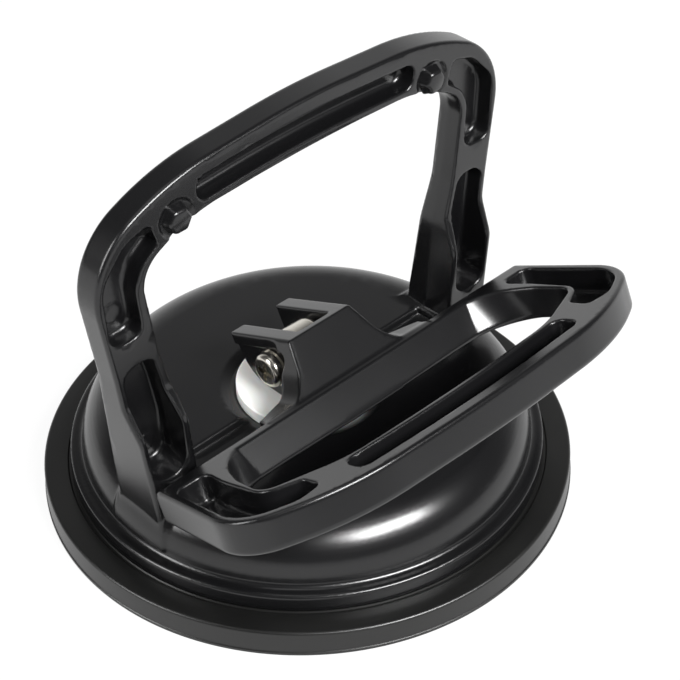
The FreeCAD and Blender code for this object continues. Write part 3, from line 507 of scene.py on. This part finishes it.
def white_nylon():
    """Moulded natural nylon: milky white, waxy, with faint rubbed marks where the cams slide."""
    material, tree = new_material("natural_white_nylon")
    place = add(tree, "ShaderNodeTexCoord")
    cloud = add(tree, "ShaderNodeTexNoise", [("Vector", place, "Object")], Scale=150.0, Detail=3.0)
    shade = add(tree, "ShaderNodeValToRGB", [("Fac", cloud, "Fac")])
    shade.color_ramp.elements[0].color = srgb("eeeeea")
    shade.color_ramp.elements[1].color = srgb("f7f7f4")
    gloss = add(tree, "ShaderNodeMapRange", [("Value", cloud, "Fac")], To_Min=0.35, To_Max=0.5)
    shader = add(tree, "ShaderNodeBsdfPrincipled",
                 [("Base Color", shade, "Color"), ("Roughness", gloss, "Result")],
                 IOR=1.53, Subsurface_Weight=0.15, Subsurface_Scale=0.002)
    finish_surface(tree, shader)
    return material


def nickel_plate():
    """Bright nickel-plated steel: a warm mirror with fine tumbling marks."""
    material, tree = new_material("nickel_plated_steel")
    place = add(tree, "ShaderNodeTexCoord")
    marks = add(tree, "ShaderNodeTexNoise", [("Vector", place, "Object")], Scale=1800.0, Detail=4.0)
    tint = add(tree, "ShaderNodeValToRGB", [("Fac", marks, "Fac")])
    tint.color_ramp.elements[0].color = srgb("c9c4ba")
    tint.color_ramp.elements[1].color = srgb("dcd8cf")
    gloss = add(tree, "ShaderNodeMapRange", [("Value", marks, "Fac")], To_Min=0.14, To_Max=0.3)
    bump = add(tree, "ShaderNodeBump", [("Height", marks, "Fac")], Strength=0.1, Distance=0.00002)
    shader = add(tree, "ShaderNodeBsdfPrincipled",
                 [("Base Color", tint, "Color"), ("Roughness", gloss, "Result"), ("Normal", bump, "Normal")],
                 Metallic=1.0)
    finish_surface(tree, shader)
    return material


def spring_wire():
    """Drawn spring steel: dark grey, with draw lines along the wire."""
    material, tree = new_material("drawn_spring_steel")
    place = add(tree, "ShaderNodeTexCoord")
    lines = add(tree, "ShaderNodeTexNoise", [("Vector", place, "Object")], Scale=2500.0, Detail=2.0)
    tint = add(tree, "ShaderNodeValToRGB", [("Fac", lines, "Fac")])
    tint.color_ramp.elements[0].color = srgb("7c7c7e")
    tint.color_ramp.elements[1].color = srgb("98989a")
    gloss = add(tree, "ShaderNodeMapRange", [("Value", lines, "Fac")], To_Min=0.28, To_Max=0.42)
    shader = add(tree, "ShaderNodeBsdfPrincipled",
                 [("Base Color", tint, "Color"), ("Roughness", gloss, "Result")], Metallic=1.0)
    finish_surface(tree, shader)
    return material


ABS = moulded_abs()
RUBBER = pad_rubber()
NYLON = white_nylon()
NICKEL = nickel_plate()
WIRE = spring_wire()
NODE_FINISHES = {
    "cup_body": ABS, "lever": ABS, "left_stop_peg": ABS, "right_stop_peg": ABS, "suction_pad": RUBBER,
    "wear_washer": NYLON, "pull_stud": NICKEL, "pad_insert_plate": NICKEL, "insert_nut": NICKEL,
    "pivot_screw": NICKEL, "pivot_nut": NICKEL, "screw_washer": NICKEL, "nut_washer": NICKEL,
    "return_spring": WIRE,
}
for node, finish in NODE_FINISHES.items():
    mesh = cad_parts[node].data
    mesh.materials.clear()
    mesh.materials.append(finish)


# ---------------------------------------------------------------- pieces
def lathe(name, outline, finish, sides=192):
    """Closed body of revolution about Z from its outline (radius, height) in mm."""
    mesh = bmesh.new()
    rings = []
    for radius, z in outline:
        if radius < 1e-6:
            rings.append([mesh.verts.new((0, 0, z * MM))])
            continue
        turns = [2 * math.pi * n / sides for n in range(sides)]
        spots = [(radius * math.cos(a), radius * math.sin(a), z) for a in turns]
        rings.append([mesh.verts.new(Vector(spot) * MM) for spot in spots])
    for first, second in zip(rings, rings[1:] + rings[:1]):
        for n in range(sides):
            corners = [first[n % len(first)], second[n % len(second)], second[(n + 1) % len(second)],
                       first[(n + 1) % len(first)]]
            corners = list(dict.fromkeys(corners))
            if len(corners) > 2:
                mesh.faces.new(corners)
    return finished(name, mesh, finish)


def finished(name, mesh, finish, sharp=35.0):
    """Object from a bmesh, faces turned outwards, smooth but for edges sharper than the given degrees."""
    bmesh.ops.recalc_face_normals(mesh, faces=mesh.faces)
    if mesh.calc_volume(signed=True) < 0:
        bmesh.ops.reverse_faces(mesh, faces=mesh.faces)
    data = bpy.data.meshes.new(name)
    mesh.to_mesh(data)
    mesh.free()
    data.shade_smooth()
    data.set_sharp_from_angle(angle=math.radians(sharp))
    data.materials.append(finish)
    piece = bpy.data.objects.new(name, data)
    bpy.context.scene.collection.objects.link(piece)
    return piece


def rubber_pad():
    """Pad with a tapered rim, a sealing bead under the flange, and two lips under the rim."""
    rim, top = 60.0, 6.2
    outline = [(0, 1.0, 0), (48.8, 1.0, 2.0), (50.2, 0.0, 0.3)]
    for groove in (53.6, 56.8):
        outline += [(groove - 0.75, 0.0, 0.15), (groove - 0.3, 0.6, 0.2), (groove + 0.3, 0.6, 0.2),
                    (groove + 0.75, 0.0, 0.15)]
    outline += [(rim, 0.0, 0.25), (rim, 0.75, 0.1), (rim - 0.2, 0.95, 0.1), (rim - 0.35, top, 0.7),
                (54.35, top, 0.15), (54.1, top - 0.3, 0.1), (53.6, top - 0.3, 0), (FLANGE, top, 0),
                (45.0, top, 0.8), (43.0, 4.0, 1.5), (0, 4.0, 0)]
    return lathe("rubber_pad", rounded(outline, 12.0), RUBBER)


PEG_ACROSS, PEG_PROUD, PEG_SINK, PEG_ROUND, SPIGOT, SPIGOT_REACH = 5.2, 1.5, 0.75, 2.0, 1.75, 2.9


def stop_peg(name, side, chords=48):
    """Hexagonal stop peg with a domed end and a filleted root, on its spigot in the arch."""
    reach = PEG_ACROSS / 2
    levels = [(PEG_SINK + SPIGOT_REACH, SPIGOT), (PEG_SINK, SPIGOT), (PEG_SINK, reach + 0.55),
              (0.25, reach + 0.35), (-0.3, reach + 0.05), (-PEG_PROUD + 0.7, reach - 0.05),
              (-PEG_PROUD + 0.25, reach - 0.25), (-PEG_PROUD, reach - 0.75)]
    mesh = bmesh.new()
    rings = []
    for depth, radius in levels:
        ring = []
        for n in range(chords):
            turn = 2 * math.pi * n / chords
            # A hexagon's edge lies this much further out than its flats, less a small round on the corners.
            corner = min(1 / math.cos((turn + math.pi / 6) % (math.pi / 3) - math.pi / 6), 1.11)
            # The spigot and the middle of the domed end are round.
            out = radius if radius < PEG_ROUND else radius * corner
            spot = (side * PEG_X + out * math.sin(turn), ARCH_FRONT + depth, PEG_Z + out * math.cos(turn))
            ring.append(mesh.verts.new(Vector(spot) * MM))
        rings.append(ring)
    for first, second in zip(rings, rings[1:]):
        for n in range(chords):
            mesh.faces.new((first[n], second[n], second[(n + 1) % chords], first[(n + 1) % chords]))
    mesh.faces.new(rings[0])
    mesh.faces.new(rings[-1])
    return finished(name, mesh, ABS, 50.0)


SPRING_FOOT, SPRING_SEAT, SPRING_WIRE, SPRING_RADIUS, SPRING_TURNS = 6.1, 18.4, 1.6, 10.2, 3.0


def coil_spring():
    """Compression spring, wound by Geometry Nodes along a spiral."""
    tree = bpy.data.node_groups.new("wound_spring", "GeometryNodeTree")
    tree.interface.new_socket("Geometry", in_out="OUTPUT", socket_type="NodeSocketGeometry")
    sizes = {"Wire Radius": SPRING_WIRE / 2 * MM, "Coil Radius": SPRING_RADIUS * MM, "Turns": SPRING_TURNS,
             "Foot": (SPRING_FOOT + SPRING_WIRE / 2) * MM,
             "Rise": (SPRING_SEAT - SPRING_FOOT - SPRING_WIRE) * MM}
    sockets = {n: tree.interface.new_socket(n, in_out="INPUT", socket_type="NodeSocketFloat") for n in sizes}
    given = add(tree, "NodeGroupInput")
    spiral = add(tree, "GeometryNodeCurveSpiral",
                 [("Rotations", given, "Turns"), ("Start Radius", given, "Coil Radius"),
                  ("End Radius", given, "Coil Radius"), ("Height", given, "Rise")], Resolution=48)
    circle = add(tree, "GeometryNodeCurvePrimitiveCircle", [("Radius", given, "Wire Radius")], Resolution=14)
    wound = add(tree, "GeometryNodeCurveToMesh", [("Curve", spiral, 0), ("Profile Curve", circle, 0)],
                Fill_Caps=True)
    foot = add(tree, "ShaderNodeCombineXYZ", [("Z", given, "Foot")])
    lifted = add(tree, "GeometryNodeTransform", [("Geometry", wound, 0), ("Translation", foot, 0)])
    smooth = add(tree, "GeometryNodeSetShadeSmooth", [("Geometry", lifted, 0)])
    real = add(tree, "GeometryNodeRealizeInstances", [("Geometry", smooth, 0)])
    dressed = add(tree, "GeometryNodeSetMaterial", [("Geometry", real, 0)])
    dressed.inputs["Material"].default_value = WIRE
    add(tree, "NodeGroupOutput", [("Geometry", dressed, 0)])
    maker = bpy.data.objects.new("spring_maker", bpy.data.meshes.new("spring_maker"))
    bpy.context.scene.collection.objects.link(maker)
    nodes = maker.modifiers.new("wound_spring", "NODES")
    nodes.node_group = tree
    for label, size in sizes.items():
        nodes[sockets[label].identifier] = size
    graph = bpy.context.evaluated_depsgraph_get()
    mesh = bpy.data.meshes.new_from_object(maker.evaluated_get(graph))
    bpy.data.objects.remove(maker)
    weld = bmesh.new()
    weld.from_mesh(mesh)
    bmesh.ops.remove_doubles(weld, verts=weld.verts, dist=1e-6)
    bpy.data.meshes.remove(mesh)
    return finished("coil_spring", weld, WIRE, 60.0)


def place_piece(piece, body, slot, *nodes):
    """Lets a piece ride its body in place of the CAD nodes it stands for."""
    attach(piece, body)
    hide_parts(*nodes)


cup = cup_and_arch()
cup.data.materials.append(ABS)
place_piece(cup, "root", "body_black", "cup_body")
lever = lever_frame()
lever.data.materials.append(ABS)
place_piece(lever, "lever", "body_black", "lever")
place_piece(rubber_pad(), "root", "pad_rubber", "suction_pad")
place_piece(stop_peg("left_peg", -1), "root", "body_black", "left_stop_peg")
place_piece(stop_peg("right_peg", 1), "root", "body_black", "right_stop_peg")
spring = coil_spring()
place_piece(spring, "root", "spring_steel", "return_spring")
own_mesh(spring)


# ---------------------------------------------------------------- studio
def studio_floor():
    """White sweep under the lifter; it keeps the soft shadow and is white to the camera elsewhere."""
    mesh = bpy.data.meshes.new("studio_floor")
    reach = 3.0
    mesh.from_pydata([(-reach, -reach, 0), (reach, -reach, 0), (reach, reach, 0), (-reach, reach, 0)], [],
                     [(0, 1, 2, 3)])
    floor = bpy.data.objects.new("studio_floor", mesh)
    bpy.context.scene.collection.objects.link(floor)
    material, tree = new_material("white_sweep_paper")
    paper = add(tree, "ShaderNodeBsdfDiffuse", Color=srgb("f4f4f4"))
    glow = add(tree, "ShaderNodeEmission", Color=srgb("ffffff"), Strength=1.0)
    path = add(tree, "ShaderNodeLightPath")
    # The camera sees mostly plain white with a trace of the shadow; shiny surfaces see the lit paper.
    share = add(tree, "ShaderNodeMapRange", [("Value", path, "Is Camera Ray")], To_Min=0.0, To_Max=0.92)
    mirror = add(tree, "ShaderNodeMath", [(0, path, "Is Glossy Ray")], operation="MULTIPLY")
    mirror.inputs[1].default_value = 0.95
    both = add(tree, "ShaderNodeMath", [(0, share, 0), (1, mirror, 0)], operation="MAXIMUM")
    mix = add(tree, "ShaderNodeMixShader", [(0, both, 0), (1, paper, 0), (2, glow, 0)])
    finish_surface(tree, mix)
    mesh.materials.append(material)


def softbox(name, centre, aim, size, watts):
    lamp = bpy.data.lights.new(name, "AREA")
    lamp.shape = "RECTANGLE"
    lamp.size, lamp.size_y = size
    lamp.energy = watts
    holder = bpy.data.objects.new(name, lamp)
    holder.location = centre
    holder.rotation_euler = (Vector(aim) - Vector(centre)).to_track_quat("-Z", "Y").to_euler()
    bpy.context.scene.collection.objects.link(holder)


def studio_world():
    """White to the camera and through glass; shiny surfaces see a white backdrop and a dim room in front."""
    world = bpy.data.worlds.new("studio_world")
    world.use_nodes = True
    tree = world.node_tree
    tree.nodes.clear()
    path = add(tree, "ShaderNodeLightPath")
    seen = add(tree, "ShaderNodeMath", [(0, path, "Is Camera Ray"), (1, path, "Is Transmission Ray")],
               operation="MAXIMUM")
    look = add(tree, "ShaderNodeTexCoord")
    behind = add(tree, "ShaderNodeVectorMath", [(0, look, "Generated")], operation="DOT_PRODUCT")
    behind.inputs[1].default_value = (0.60, 0.62, -0.50)
    backdrop = add(tree, "ShaderNodeMapRange", [("Value", behind, "Value")], From_Min=0.2, From_Max=0.8,
                   To_Min=0.08, To_Max=1.0)
    level = add(tree, "ShaderNodeMix", [("Factor", path, "Is Glossy Ray"), ("B", backdrop, 0)], A=0.3)
    fill = add(tree, "ShaderNodeBackground", [("Strength", level, 0)], Color=srgb("ffffff"))
    white = add(tree, "ShaderNodeBackground", Color=srgb("ffffff"), Strength=1.0)
    mix = add(tree, "ShaderNodeMixShader", [(0, seen, 0), (1, fill, 0), (2, white, 0)])
    add(tree, "ShaderNodeOutputWorld", [("Surface", mix, 0)])
    bpy.context.scene.world = world


def camera():
    """Long lens, looking down 39 degrees on the lifter's front left quarter."""
    lens = bpy.data.cameras.new("camera")
    lens.lens = 103.46
    lens.sensor_width = 36.0
    holder = bpy.data.objects.new("camera", lens)
    right = Vector((0.71972, -0.69404, -0.01754))
    up = Vector((0.44839, 0.44539, 0.77497))
    back = Vector((-0.53004, -0.56563, 0.63176))
    holder.matrix_world = Matrix.Translation(Vector((-220.57, -247.03, 304.67)) * MM) @ Matrix(
        (right, up, back)).transposed().to_4x4()
    bpy.context.scene.collection.objects.link(holder)
    bpy.context.scene.camera = holder


studio_floor()
softbox("softbox_front", (0.0, -0.66, 0.66), (0, 0, 0.03), (0.5, 0.24), 17.0)
softbox("softbox_left", (-0.85, 0.30, 0.50), (0, 0, 0.03), (0.3, 0.6), 6.0)
softbox("overhead", (-0.10, 0.10, 0.95), (0, 0, 0.03), (0.5, 0.5), 0.8)
studio_world()
camera()
bpy.context.scene.view_settings.view_transform = "Standard"
